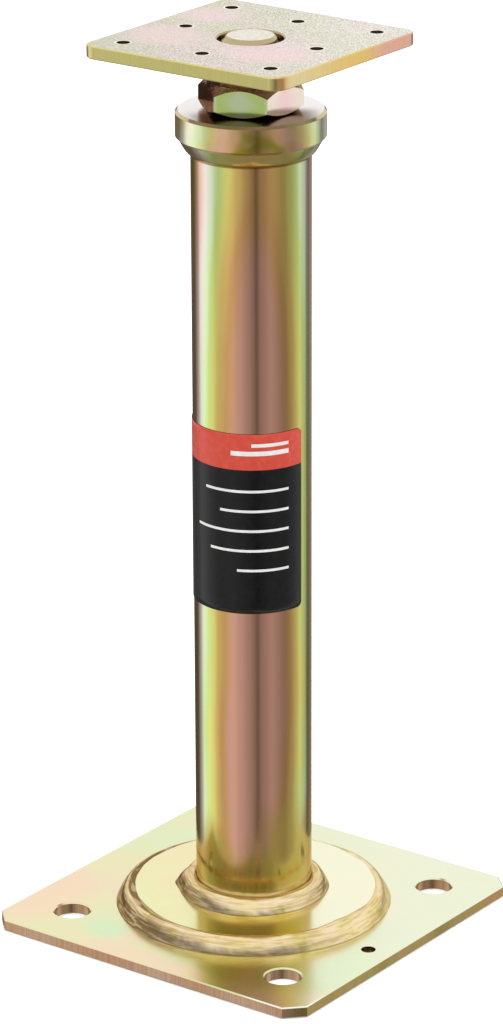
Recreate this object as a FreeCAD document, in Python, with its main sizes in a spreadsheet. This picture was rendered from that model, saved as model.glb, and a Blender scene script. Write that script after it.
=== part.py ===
"""Adjustable steel support post.

A round tube is welded to a square anchor plate. A turned collar is welded on the tube's top, a
hexagon nut stands on the collar, and the threaded spindle in the nut carries a square head plate.

Millimetres, +Z up. The origin is the centre of the anchor plate's underside, and X and Y run
along that plate's sides.
"""

import FreeCAD
import Part
import Sketcher

import os
import re

# Driving dimensions, all in millimetres and degrees.
DIMENSIONS = {
    # anchor plate
    "base_side": 130.0,
    "base_thickness": 4.0,
    "base_corner_cut": 6.0,
    "anchor_spacing": 90.0,
    "anchor_hole": 12.5,
    "plating_hole": 5.0,
    "plating_hole_inset": 8.7,
    "plating_hole_offset": 11.2,
    # reinforcing disc and the weld round it
    "disc_diameter": 86.0,
    "disc_thickness": 5.0,
    "disc_weld_reach": 4.6,
    # tube and the weld round its foot
    "tube_diameter": 40.0,
    "tube_wall": 2.0,
    "tube_length": 268.5,
    "tube_weld_reach": 6.4,
    "tube_weld_rise": 5.0,
    # turned collar on the tube and the weld under it
    "collar_overhang": 5.0,
    "collar_height": 9.6,
    "collar_edge_break": 0.9,
    "collar_weld_reach": 4.0,
    "collar_weld_drop": 5.3,
    "spigot_length": 12.0,
    "spigot_clearance": 0.05,
    "guide_clearance": 0.5,
    # sticker on the tube
    "label_width": 70.0,
    "label_height": 63.5,
    "label_thickness": 0.2,
    "label_corner": 2.0,
    "label_rise": 108.5,
    "label_edge_angle": 0.0,
    # hexagon nut
    "nut_across_flats": 30.8,
    "nut_thickness": 10.0,
    "nut_top_diameter": 29.5,
    "nut_top_angle": 45.0,
    "nut_seat_diameter": 29.4,
    "nut_seat_angle": 35.0,
    "nut_turned": 23.7,
    "thread_clearance": 0.05,
    # spindle
    "spindle_diameter": 20.0,
    "spindle_length": 160.0,
    "spindle_chamfer": 2.25,
    "spindle_proud": 0.8,
    # head plate
    "head_gap": 9.2,
    "top_side": 79.0,
    "top_thickness": 4.5,
    "top_corner_radius": 5.0,
    "top_screw_hole": 4.5,
    "top_corner_inset": 10.0,
    "top_middle_inset": 13.1,
    "top_centre_clearance": 1.0,
    "spindle_weld_leg": 3.5,
    # small sizes that several pieces share
    "plate_edge_break": 0.4,
    "punched_edge_break": 0.5,
    "weld_root_gap": 0.05,
}

# Heights that stack up from the driving dimensions, as expressions of the sheet's cells.
STACK = {
    "disc_top": "=base_thickness + disc_thickness",
    "collar_seat": "=disc_top + tube_length",
    "collar_top": "=collar_seat + collar_height",
    "nut_top": "=collar_top + nut_thickness",
    "top_underside": "=nut_top + head_gap",
    "spindle_top": "=top_underside + top_thickness + spindle_proud",
}

# Tolerances for picking edges: a share of an edge's length, and a length in millimetres.
UPRIGHT_SHARE = 0.99
CLOSE = 1e-6

# Straight runs that make up the crown of a weld's section.
CROWN_RUNS = 2

doc = FreeCAD.newDocument("support_post")
sheet = doc.addObject("Spreadsheet::Sheet", "dims")


def fill_sheet():
    """Write each dimension, and each height worked out from them, to a cell with an alias."""
    rows = {**DIMENSIONS, **STACK}
    for row, (name, value) in enumerate(rows.items(), start=1):
        sheet.set(f"A{row}", name)
        sheet.set(f"B{row}", str(value))
        sheet.setAlias(f"B{row}", name)
    doc.recompute()


def cell(expression):
    """An expression in which each bare name that the sheet knows points at its cell."""
    known = {*DIMENSIONS, *STACK}

    def pointed(match):
        word = match.group()
        return f"dims.{word}" if word in known else word

    return re.sub(r"[a-z_]+", pointed, expression)


def new_body(name, height=None, turn=None):
    """A body whose Label names its file, placed at a height and turned about Z by the sheet."""
    body = doc.addObject("PartDesign::Body", name)
    body.Label = name
    if height:
        body.setExpression("Placement.Base.z", cell(height))
    if turn:
        # any angle but zero keeps Z as the axis until the sheet's angle is bound to it
        body.Placement.Rotation = FreeCAD.Rotation(FreeCAD.Vector(0, 0, 1), 1)
        body.setExpression("Placement.Rotation.Angle", cell(turn))
    return body


def new_sketch(body, name, plane):
    """A sketch on one of the body's own origin planes."""
    sketch = body.newObject("Sketcher::SketchObject", name)
    planes = [p for p in body.Origin.OriginFeatures if p.Role == plane]
    sketch.AttachmentSupport = [(planes[0], "")]
    sketch.MapMode = "FlatFace"
    return sketch


def value_of(expression):
    """The number that an expression of the sheet's cells has now."""
    return float(sheet.evalExpression(expression))


def bind(sketch, kind, where, expression):
    """A sketch constraint whose size is an expression of the sheet's cells."""
    index = sketch.addConstraint(Sketcher.Constraint(kind, *where, value_of(expression)))
    sketch.setExpression(f"Constraints[{index}]", cell(expression))


def place_point(sketch, geometry, end, x, y):
    """Hold one end of a sketch line, or a circle's centre, at x and y from the sketch's origin."""
    bind(sketch, "DistanceX", (-1, 1, geometry, end), x)
    bind(sketch, "DistanceY", (-1, 1, geometry, end), y)


def outline(sketch, points):
    """A closed outline of straight sides through points, each a pair of expressions."""
    corners = [FreeCAD.Vector(value_of(x), value_of(y), 0) for x, y in points]
    first = sketch.GeometryCount
    count = len(points)
    for i, start in enumerate(corners):
        sketch.addGeometry(Part.LineSegment(start, corners[(i + 1) % count]), False)
    for i in range(count):
        here = first + i
        following = first + (i + 1) % count
        sketch.addConstraint(Sketcher.Constraint("Coincident", here, 2, following, 1))
        place_point(sketch, here, 1, *points[i])


def circle(sketch, diameter, x="0", y="0"):
    """A circle whose diameter and centre are expressions."""
    centre = FreeCAD.Vector(value_of(x), value_of(y), 0)
    round_edge = Part.Circle(centre, FreeCAD.Vector(0, 0, 1), value_of(diameter) / 2)
    index = sketch.addGeometry(round_edge, False)
    bind(sketch, "Diameter", (index,), diameter)
    place_point(sketch, index, 3, x, y)


def rectangle(sketch, width, depth):
    """A rectangle centred on the sketch's origin."""
    right = f"{width} / 2"
    top = f"{depth} / 2"
    left = f"0 - {width} / 2"
    bottom = f"0 - {depth} / 2"
    outline(sketch, [(left, bottom), (right, bottom), (right, top), (left, top)])


def hexagon(sketch, across_flats):
    """A regular hexagon centred on the sketch's origin, with two corners on the X axis."""
    reach = f"{across_flats} / 2 / cos(30 deg)"
    radius = value_of(reach)
    centre = FreeCAD.Vector(0, 0, 0)
    ring = sketch.addGeometry(Part.Circle(centre, FreeCAD.Vector(0, 0, 1), radius), True)
    bind(sketch, "Radius", (ring,), reach)
    sketch.addConstraint(Sketcher.Constraint("Coincident", ring, 3, -1, 1))
    corner = FreeCAD.Vector(radius, 0, 0)
    sixth = FreeCAD.Rotation(FreeCAD.Vector(0, 0, 1), 60)
    sides = []
    for _ in range(6):
        following = sixth.multVec(corner)
        sides.append(sketch.addGeometry(Part.LineSegment(corner, following), False))
        corner = following
    for here, following in zip(sides, sides[1:] + sides[:1]):
        sketch.addConstraint(Sketcher.Constraint("Coincident", here, 2, following, 1))
        sketch.addConstraint(Sketcher.Constraint("PointOnObject", here, 1, ring))
    for side in sides[1:]:
        sketch.addConstraint(Sketcher.Constraint("Equal", sides[0], side))
    sketch.addConstraint(Sketcher.Constraint("PointOnObject", sides[0], 1, -1))


def pad(body, sketch, length):
    """A pad of the sketch, upwards."""
    feature = body.newObject("PartDesign::Pad", sketch.Name + "_pad")
    feature.Profile = sketch
    feature.setExpression("Length", cell(length))
    doc.recompute()
    return feature


def cut_through(body, sketch):
    """A pocket of the sketch through the whole piece, which has to take material away."""
    before = body.Shape.Volume
    feature = body.newObject("PartDesign::Pocket", sketch.Name + "_cut")
    feature.Profile = sketch
    feature.Type = "ThroughAll"
    feature.Midplane = True
    doc.recompute()
    must_shrink(body, before)
    return feature


def must_shrink(body, before):
    """Stop if a cut left the piece's volume as it was."""
    if not body.Shape.Volume < before:
        raise RuntimeError(f"a cut in {body.Label} took nothing away")


def turned(body, sketch, angle=None):
    """The sketch revolved about Z, all the way round or by an angle."""
    feature = body.newObject("PartDesign::Revolution", sketch.Name + "_turned")
    feature.Profile = sketch
    feature.ReferenceAxis = (sketch, ["V_Axis"])
    feature.Angle = 360
    if angle:
        feature.setExpression("Angle", cell(angle))
    doc.recompute()
    return feature


def grooved(body, sketch):
    """The sketch revolved about Z and cut out of the piece."""
    before = body.Shape.Volume
    feature = body.newObject("PartDesign::Groove", sketch.Name + "_groove")
    feature.Profile = sketch
    feature.ReferenceAxis = (sketch, ["V_Axis"])
    feature.Angle = 360
    doc.recompute()
    must_shrink(body, before)


def four_times(body, feature, sketch):
    """The feature repeated at quarter turns about Z."""
    before = body.Shape.Volume
    pattern = body.newObject("PartDesign::PolarPattern", sketch.Name + "_pattern")
    pattern.Originals = [feature]
    pattern.Axis = (sketch, ["N_Axis"])
    pattern.Angle = 360
    pattern.Occurrences = 4
    body.Tip = pattern
    doc.recompute()
    must_shrink(body, before)


def weld_ring(name, height, core, reach, rise, hangs=False, runs=CROWN_RUNS):
    """Convex fillet weld round a core, standing on a level or hanging under it.

    The crown follows a quarter of an ellipse in straight runs: a single one is a flat fillet.
    """
    body = new_body(name, height)
    section = new_sketch(body, f"{name}_section", "XZ_Plane")
    root = f"{core} / 2 + weld_root_gap"
    away = "0 -" if hangs else ""
    points = [(root, "0")]
    for i in range(runs + 1):
        lean = f"{i} / {runs} * 90 deg"
        points.append((f"{root} + ( {reach} - weld_root_gap ) * cos({lean})", f"{away} {rise} * sin({lean})"))
    outline(section, points)
    turned(body, section)


def dress_edges(body, kind, size, wanted):
    """A fillet or chamfer on the edges of the body that wanted picks."""
    base = body.Tip
    edges = [f"Edge{i}" for i, edge in enumerate(base.Shape.Edges, start=1) if wanted(edge)]
    feature = body.newObject(f"PartDesign::{kind}", f"{body.Name}_{kind.lower()}_{len(body.Group)}")
    feature.Base = (base, edges)
    feature.setExpression("Radius" if kind == "Fillet" else "Size", cell(size))
    doc.recompute()


def is_upright(edge):
    """Is this edge straight and parallel to Z?"""
    start, end = edge.Vertexes[0].Point, edge.Vertexes[-1].Point
    return abs((end - start).z) > UPRIGHT_SHARE * edge.Length


def is_level(edge):
    """Does this edge lie in a level plane?"""
    return edge.BoundBox.ZLength < CLOSE


def break_punched_mouths(body, diameter, thickness):
    """Break the upper mouth of each hole of a diameter, where the punch draws the skin in."""
    width = value_of(diameter)
    height = value_of(thickness)

    def is_mouth(edge):
        box = edge.BoundBox
        same_size = edge.isClosed() and abs(box.XLength - width) < CLOSE
        return same_size and is_level(edge) and abs(box.ZMax - height) < CLOSE

    dress_edges(body, "Chamfer", "punched_edge_break", is_mouth)


def make_base_plate():
    """Square anchor plate with cut corners, anchor holes and one small hole for the plating hook."""
    body = new_body("base_plate")
    side = new_sketch(body, "base_outline", "XY_Plane")
    rectangle(side, "base_side", "base_side")
    pad(body, side, "base_thickness")
    dress_edges(body, "Chamfer", "base_corner_cut", is_upright)
    dress_edges(body, "Chamfer", "plate_edge_break", is_level)
    anchor = new_sketch(body, "anchor_hole_outline", "XY_Plane")
    circle(anchor, "anchor_hole", "anchor_spacing / 2", "anchor_spacing / 2")
    four_times(body, cut_through(body, anchor), anchor)
    hook = new_sketch(body, "plating_hole_outline", "XY_Plane")
    circle(hook, "plating_hole", "base_side / 2 - plating_hole_inset", "0 - plating_hole_offset")
    cut_through(body, hook)
    break_punched_mouths(body, "anchor_hole", "base_thickness")


def make_reinforcing_disc():
    """Round plate between the anchor plate and the tube."""
    body = new_body("reinforcing_disc", "base_thickness")
    edge = new_sketch(body, "disc_outline", "XY_Plane")
    circle(edge, "disc_diameter")
    pad(body, edge, "disc_thickness")


def make_disc_weld():
    """Weld from the disc's edge to the anchor plate."""
    weld_ring("disc_weld", "base_thickness", "disc_diameter", "disc_weld_reach", "disc_thickness")


def make_post_tube():
    """Round tube that stands on the disc."""
    body = new_body("post_tube", "disc_top")
    section = new_sketch(body, "tube_section", "XY_Plane")
    circle(section, "tube_diameter")
    circle(section, "tube_diameter - 2 * tube_wall")
    pad(body, section, "tube_length")


def make_tube_weld():
    """Weld from the tube's foot to the disc."""
    weld_ring("tube_weld", "disc_top", "tube_diameter", "tube_weld_reach", "tube_weld_rise")


def make_collar():
    """Turned collar: a ring on the tube's end, a spigot in it and a bore that guides the spindle."""
    body = new_body("collar", "collar_seat - spigot_length")
    section = new_sketch(body, "collar_section", "XZ_Plane")
    guide = "spindle_diameter / 2 + guide_clearance"
    spigot = "tube_diameter / 2 - tube_wall - spigot_clearance"
    rim = "tube_diameter / 2 + collar_overhang"
    top = "spigot_length + collar_height"
    edge = "collar_edge_break"
    outline(
        section,
        [
            (guide, "0"),
            (spigot, "0"),
            (spigot, "spigot_length"),
            (f"{rim} - {edge}", "spigot_length"),
            (rim, f"spigot_length + {edge}"),
            (rim, f"{top} - {edge}"),
            (f"{rim} - {edge}", top),
            (guide, top),
        ],
    )
    turned(body, section)


def make_collar_weld():
    """Weld from the collar's underside to the tube."""
    sizes = ("tube_diameter", "collar_weld_reach", "collar_weld_drop")
    weld_ring("collar_weld", "collar_seat", *sizes, hangs=True)


def make_label():
    """Thin sticker wrapped part of the way round the tube, with rounded corners."""
    span = "label_width / tube_diameter * 2 * 180 deg / pi"
    body = new_body("label", "disc_top + label_rise", f"label_edge_angle * 1 deg - {span}")
    section = new_sketch(body, "label_section", "XZ_Plane")
    inner = "tube_diameter / 2 + weld_root_gap"
    outer = f"{inner} + label_thickness"
    outline(section, [(inner, "0"), (outer, "0"), (outer, "label_height"), (inner, "label_height")])
    turned(body, section, span)

    thickness = value_of("label_thickness")

    def is_corner(edge):
        return abs(edge.Length - thickness) < CLOSE and is_level(edge)

    dress_edges(body, "Fillet", "label_corner", is_corner)


def trim_corners(body, face, height, inward):
    """Trim the hexagon's corners to a cone that starts at the face's diameter and slants inward."""
    section = new_sketch(body, f"{face}_section", "XZ_Plane")
    edge = f"{face}_diameter / 2"
    outside = "nut_across_flats"
    depth = f"( {outside} - {edge} ) * tan({face}_angle * 1 deg)"
    outline(section, [(edge, height), (outside, height), (outside, f"{height} {inward} {depth}")])
    grooved(body, section)


def make_adjusting_nut():
    """Thin hexagon nut, chamfered on both faces, with a bore for the spindle's thread."""
    body = new_body("adjusting_nut", "collar_top", "nut_turned * 1 deg")
    flats = new_sketch(body, "nut_outline", "XY_Plane")
    hexagon(flats, "nut_across_flats")
    pad(body, flats, "nut_thickness")

    trim_corners(body, "nut_seat", "0", "+")
    trim_corners(body, "nut_top", "nut_thickness", "-")

    bore = new_sketch(body, "nut_bore_outline", "XY_Plane")
    circle(bore, "spindle_diameter + 2 * thread_clearance")
    cut_through(body, bore)


def make_spindle():
    """Round spindle, chamfered at both ends. Its thread is finer than the model's detail."""
    body = new_body("spindle", "spindle_top - spindle_length")
    section = new_sketch(body, "spindle_section", "XZ_Plane")
    radius = "spindle_diameter / 2"
    edge = "spindle_chamfer"
    outline(
        section,
        [
            ("0", "0"),
            (f"{radius} - {edge}", "0"),
            (radius, edge),
            (radius, f"spindle_length - {edge}"),
            (f"{radius} - {edge}", "spindle_length"),
            ("0", "spindle_length"),
        ],
    )
    turned(body, section)


def make_top_plate():
    """Square head plate with rounded corners, screw holes and a centre hole for the spindle's end."""
    body = new_body("top_plate", "top_underside")
    side = new_sketch(body, "top_outline", "XY_Plane")
    rectangle(side, "top_side", "top_side")
    pad(body, side, "top_thickness")
    dress_edges(body, "Fillet", "top_corner_radius", is_upright)
    dress_edges(body, "Chamfer", "plate_edge_break", is_level)
    screws = new_sketch(body, "screw_hole_outline", "XY_Plane")
    corner = "top_side / 2 - top_corner_inset"
    circle(screws, "top_screw_hole", corner, corner)
    circle(screws, "top_screw_hole", "top_side / 2 - top_middle_inset", "0")
    four_times(body, cut_through(body, screws), screws)
    centre = new_sketch(body, "centre_hole_outline", "XY_Plane")
    centre_hole = "spindle_diameter + 2 * top_centre_clearance"
    circle(centre, centre_hole)
    cut_through(body, centre)
    break_punched_mouths(body, centre_hole, "top_thickness")


def make_spindle_weld():
    """Flat fillet weld from the spindle to the head plate's underside."""
    sizes = ("spindle_diameter", "spindle_weld_leg", "spindle_weld_leg")
    weld_ring("spindle_weld", "top_underside", *sizes, hangs=True, runs=1)


def export_parts():
    """Check every object of the document, then write each body to its own file."""
    doc.recompute()
    for thing in doc.Objects:
        faults = {"Invalid", "Error"} & set(thing.State)
        if faults:
            raise RuntimeError(f"{thing.Label} is {faults}")
    os.makedirs("parts", exist_ok=True)
    for body in doc.findObjects("PartDesign::Body"):
        shape = body.Shape
        if shape.isNull() or not shape.isValid() or len(shape.Solids) != 1:
            raise RuntimeError(f"{body.Label} is not one valid solid")
        shape.exportStep(f"parts/{body.Label}.step")


fill_sheet()
make_base_plate()
make_reinforcing_disc()
make_disc_weld()
make_post_tube()
make_tube_weld()
make_collar()
make_collar_weld()
make_label()
make_adjusting_nut()
make_spindle()
make_top_plate()
make_spindle_weld()
export_parts()
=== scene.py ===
"""Looks for the adjustable support post: plated steel, welds, a cut thread and a sticker.

Metres throughout, so sizes that read better in millimetres are multiplied by MM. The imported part
is the frame: +Z up, with the origin under the middle of the anchor plate.
"""

import math
from collections import namedtuple

import bpy
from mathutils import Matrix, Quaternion, Vector, noise


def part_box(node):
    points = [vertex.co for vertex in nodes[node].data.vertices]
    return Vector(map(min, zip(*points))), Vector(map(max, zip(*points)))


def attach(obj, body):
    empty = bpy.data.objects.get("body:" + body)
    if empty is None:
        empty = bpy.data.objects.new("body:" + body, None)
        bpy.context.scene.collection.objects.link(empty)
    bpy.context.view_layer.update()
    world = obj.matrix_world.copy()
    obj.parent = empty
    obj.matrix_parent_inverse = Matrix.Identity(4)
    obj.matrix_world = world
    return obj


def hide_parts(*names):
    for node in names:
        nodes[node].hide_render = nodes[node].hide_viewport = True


MM = 0.001
TURN = 2 * math.pi

# The camera, fitted to the plates, the tube and the collar in the photograph.
VIEW_AZIMUTH = math.radians(36.34)
VIEW_ELEVATION = math.radians(19.8)
VIEW_ROLL = math.radians(-0.23)
VIEW_DISTANCE = 1545.2 * MM
VIEW_TARGET = Vector((0, 0, 146.65 * MM))
VIEW_END = 100.0
LENS_MM = 161.0
SENSOR_MM = 36.0
SHIFT_X = -0.001

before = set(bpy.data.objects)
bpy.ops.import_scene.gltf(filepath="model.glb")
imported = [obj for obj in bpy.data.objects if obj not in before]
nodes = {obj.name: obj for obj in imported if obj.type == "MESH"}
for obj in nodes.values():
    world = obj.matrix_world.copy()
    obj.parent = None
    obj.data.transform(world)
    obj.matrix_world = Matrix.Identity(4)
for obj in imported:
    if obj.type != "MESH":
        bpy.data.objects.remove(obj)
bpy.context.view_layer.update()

# Levels and radii of the part's solids, which the added pieces and the materials fit.
BASE_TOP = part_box("base_plate")[1].z
DISC_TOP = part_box("reinforcing_disc")[1].z
DISC_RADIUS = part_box("reinforcing_disc")[1].x
TUBE_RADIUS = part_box("post_tube")[1].x
COLLAR_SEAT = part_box("post_tube")[1].z
COLLAR_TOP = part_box("collar")[1].z
NUT_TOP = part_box("adjusting_nut")[1].z
HEAD_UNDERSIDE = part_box("top_plate")[0].z
HEAD_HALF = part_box("top_plate")[1].x
SPINDLE_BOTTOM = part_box("spindle")[0].z
SPINDLE_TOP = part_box("spindle")[1].z
SPINDLE_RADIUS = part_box("spindle")[1].x
LABEL_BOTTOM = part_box("label")[0].z

# Sizes that show in both a shape and a material.
COLLAR_WELD_RISE = 5.2 * MM
SPINDLE_CHAMFER = 2.25 * MM

# Middles of the anchor plate's four anchor holes and of its small plating hole.
ANCHOR_OFF = 45 * MM
ANCHOR_HOLES = [(x * ANCHOR_OFF, y * ANCHOR_OFF) for x in (-1, 1) for y in (-1, 1)]
PLATING_HOLE = (56.3 * MM, -11.2 * MM)
# Middles of the head plate's screw holes: four near its corners, four by the middles of its sides.
CORNER_OFF = 29.5 * MM
SIDE_OFF = 26.4 * MM
HEAD_HOLES = [(x * CORNER_OFF, y * CORNER_OFF) for x in (-1, 1) for y in (-1, 1)]
HEAD_HOLES += [(-SIDE_OFF, 0.0), (SIDE_OFF, 0.0), (0.0, -SIDE_OFF), (0.0, SIDE_OFF)]
# More than the distance between any two places on the part.
FAR = 1.0

# The bearing of the copper band that runs up the tube.
BAND_BEARING = math.radians(-53.66)
# Degrees to the right from the band to the middle of the nearest flat of the nut.
NUT_FLAT = -12.6
# How far the film's colours lag to the right of the band, and lead to the left of it.
FILM_LAG = 0.19
FILM_LEAD = 0.06

# Colours of the yellow chromate film, in the order in which they follow each other as it thickens.
PINK = (0.82, 0.43, 0.31)
COPPER = (0.78, 0.44, 0.17)
GOLD = (0.86, 0.60, 0.18)
YELLOW = (0.84, 0.78, 0.22)
LEAF = (0.67, 0.83, 0.27)
MINT = (0.76, 0.92, 0.56)
BLUSH = (0.92, 0.84, 0.75)
ROSE = (0.90, 0.58, 0.50)
# Colours where it is thin or dull.
OLIVE = (0.56, 0.48, 0.12)
CREAM = (0.92, 0.89, 0.68)
PALE = (0.94, 0.90, 0.88)
BROWN = (0.30, 0.16, 0.06)
UMBER = (0.16, 0.09, 0.03)

WHITE = (1.0, 1.0, 1.0)
BLACK = (0.0, 0.0, 0.0)
# Tints of what the metal mirrors at a low angle.
WARM = (0.85, 0.75, 0.60)
ROSY = (0.62, 0.50, 0.42)


class Shader:
    """Short calls for the nodes of one material or world."""

    def __init__(self, tree):
        self.tree = tree

    def add(self, kind, inputs=None, **settings):
        """A node with its settings, and its inputs set to values or linked to sockets."""
        made = self.tree.nodes.new(kind)
        for name, value in settings.items():
            setattr(made, name, value)
        for name, value in (inputs or {}).items():
            self.put(made.inputs[name], value)
        return made

    def put(self, socket, value):
        """Link a socket to an input, or set the input's value."""
        if isinstance(value, bpy.types.NodeSocket):
            self.tree.links.new(value, socket)
        elif socket.type == "RGBA":
            socket.default_value = (*value, 1.0)
        else:
            socket.default_value = value

    def math(self, operation, a, b=0.0, c=0.0):
        made = self.add("ShaderNodeMath", {0: a, 1: b, 2: c}, operation=operation)
        return made.outputs[0]

    def mix(self, factor, a, b):
        """Colour a, changed to colour b by a factor."""
        made = self.add("ShaderNodeMix", {0: factor, 6: a, 7: b}, data_type="RGBA")
        return made.outputs[2]

    def span(self, value, low, high, to_low=0.0, to_high=1.0):
        """Value moved from one range to another, with soft ends."""
        inputs = {0: value, 1: low, 2: high, 3: to_low, 4: to_high}
        made = self.add("ShaderNodeMapRange", inputs, interpolation_type="SMOOTHSTEP")
        return made.outputs[0]

    def ramp(self, value, low, high, stops, interpolation="EASE"):
        """A colour ramp over a range of values, through stops: a value and a colour or a grey."""
        share = self.add("ShaderNodeMapRange", {0: value, 1: low, 2: high}).outputs[0]
        made = self.add("ShaderNodeValToRGB", {"Fac": share})
        ramp = made.color_ramp
        ramp.interpolation = interpolation
        while len(ramp.elements) < len(stops):
            ramp.elements.new(1.0)
        for element, (place, colour) in zip(ramp.elements, stops):
            element.position = (place - low) / (high - low)
            grey = isinstance(colour, float)
            element.color = (colour, colour, colour, 1.0) if grey else (*colour, 1.0)
        return made.outputs["Color"]

    def noise(self, vector, scale, detail=2.0, roughness=0.5):
        inputs = {"Vector": vector, "Scale": scale, "Detail": detail, "Roughness": roughness}
        return self.add("ShaderNodeTexNoise", inputs).outputs["Fac"]

    def stretched(self, vector, scale=(1.0, 1.0, 1.0), turn=0.0):
        """The vector scaled axis by axis, then turned about Z."""
        inputs = {"Vector": vector, "Rotation": (0.0, 0.0, turn), "Scale": scale}
        return self.add("ShaderNodeMapping", inputs).outputs[0]

    def parts(self, vector):
        return self.add("ShaderNodeSeparateXYZ", {0: vector}).outputs

    def joined(self, x, y, z):
        return self.add("ShaderNodeCombineXYZ", {0: x, 1: y, 2: z}).outputs[0]


class Surface(Shader):
    """A material of the part: object coordinates, a principled shader and a bump chain."""

    def __init__(self, name, grazing=WHITE, metallic=1.0):
        self.material = bpy.data.materials.new(name)
        self.material.use_nodes = True
        super().__init__(self.material.node_tree)
        self.sockets = self.tree.nodes["Principled BSDF"].inputs
        self.put(self.sockets["Metallic"], metallic)
        self.put(self.sockets["Specular Tint"], grazing)
        self.place = self.add("ShaderNodeTexCoord").outputs["Object"]
        self.x, self.y, self.z = self.parts(self.place)
        self.normal = None

    def turned(self, zero):
        """Places along and across a bearing about Z."""
        along, across, _ = self.parts(self.stretched(self.place, turn=-zero))
        return along, across

    def bearing(self, zero):
        """Angle about Z in radians, from half a turn back to half a turn on, from a bearing."""
        along, across = self.turned(zero)
        return self.math("ARCTAN2", across, along)

    def facing(self, zero):
        """1 at a bearing about Z, -1 behind it."""
        return self.math("COSINE", self.bearing(zero))

    def sideways(self):
        """1 at the right side of a round piece, -1 at the left, 0 on its band and behind."""
        return self.math("SINE", self.bearing(BAND_BEARING))

    def radius(self):
        """Distance from the Z axis."""
        across = self.math("MULTIPLY", self.x, self.x)
        return self.math("SQRT", self.math("MULTIPLY_ADD", self.y, self.y, across))

    def off_middle(self):
        """The larger of the distances from the planes X = 0 and Y = 0."""
        return self.math("MAXIMUM", self.math("ABSOLUTE", self.x), self.math("ABSOLUTE", self.y))

    def upright(self, least, most):
        """0 on faces that slope by less than one angle in degrees, 1 by more than another."""
        facing = self.parts(self.add("ShaderNodeNewGeometry").outputs["True Normal"])[2]
        level = self.math("ABSOLUTE", facing)
        return self.span(level, math.cos(math.radians(most)), math.cos(math.radians(least)), 1.0, 0.0)

    def uneven(self, scale, share, detail=1.5):
        """Noise about zero, from about minus to plus a share."""
        cloud = self.noise(self.stretched(self.place, scale), 1.0, detail)
        return self.math("MULTIPLY_ADD", cloud, 2 * share, -share)

    def patch(self, centre, size):
        """1 at a place on a level face, falling off to 0 over a size."""
        x = self.math("DIVIDE", self.math("SUBTRACT", self.x, centre[0]), size[0])
        y = self.math("DIVIDE", self.math("SUBTRACT", self.y, centre[1]), size[1])
        off = self.math("MULTIPLY_ADD", y, y, self.math("MULTIPLY", x, x))
        return self.span(off, 0.0, 1.0, 1.0, 0.0)

    def hole_distance(self, centres):
        """Distance on a level face from the nearest of some places."""
        nearest = FAR
        for x, y in centres:
            off_x = self.math("SUBTRACT", self.x, x)
            off_y = self.math("SUBTRACT", self.y, y)
            square = self.math("MULTIPLY_ADD", off_y, off_y, self.math("MULTIPLY", off_x, off_x))
            nearest = self.math("MINIMUM", self.math("SQRT", square), nearest)
        return nearest

    def strip(self, zero, half_width, soft):
        """1 on a strip that runs out from the axis at a bearing, 0 outside it and behind the axis."""
        along, across = self.turned(zero)
        inside = self.span(self.math("ABSOLUTE", across), half_width, half_width + soft, 1.0, 0.0)
        return self.math("MULTIPLY", inside, self.span(along, 0.0, soft))

    def bump(self, value, distance, strength=1.0):
        """Add a layer of relief, distance metres deep, to those already there."""
        inputs = {"Height": value, "Distance": distance, "Strength": strength}
        if self.normal:
            inputs["Normal"] = self.normal
        self.normal = self.add("ShaderNodeBump", inputs).outputs[0]

    def finish(self, colour, roughness):
        self.put(self.sockets["Base Color"], colour)
        self.put(self.sockets["Roughness"], roughness)
        if self.normal:
            self.put(self.sockets["Normal"], self.normal)
        return self.material


def from_band(degrees):
    """A bearing about Z, counted to the right from the tube's copper band."""
    return BAND_BEARING + math.radians(degrees)


def film_order(metal, drift):
    """How far along the film's colours a round piece is: 0 on the band, 1 a quarter turn away."""
    wave = metal.math("COSINE", metal.math("MULTIPLY", metal.bearing(BAND_BEARING), 2.0))
    order = metal.math("MULTIPLY_ADD", wave, -0.5, 0.5)
    side = metal.sideways()
    late = metal.math("MULTIPLY", metal.math("MAXIMUM", side, 0.0), -FILM_LAG)
    early = metal.math("MULTIPLY", metal.math("MINIMUM", side, 0.0), -FILM_LEAD)
    return metal.math("ADD", metal.math("ADD", order, drift), metal.math("ADD", late, early))


def film_colour(metal, order, bands):
    """The film's colour on a round piece, with painted shade on its right side, where its colours
    lag.
    """
    colour = metal.ramp(order, -0.3, 1.3, bands)
    side = metal.sideways()
    # Painted shade: the right side is darkened towards black.
    from_front = metal.span(side, 0.25, 0.6, 0.0, 0.36)
    to_flank = metal.span(side, 0.72, 0.86, 1.0, 0.2)
    return metal.mix(metal.math("MULTIPLY", from_front, to_flank), colour, BLACK)


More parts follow.
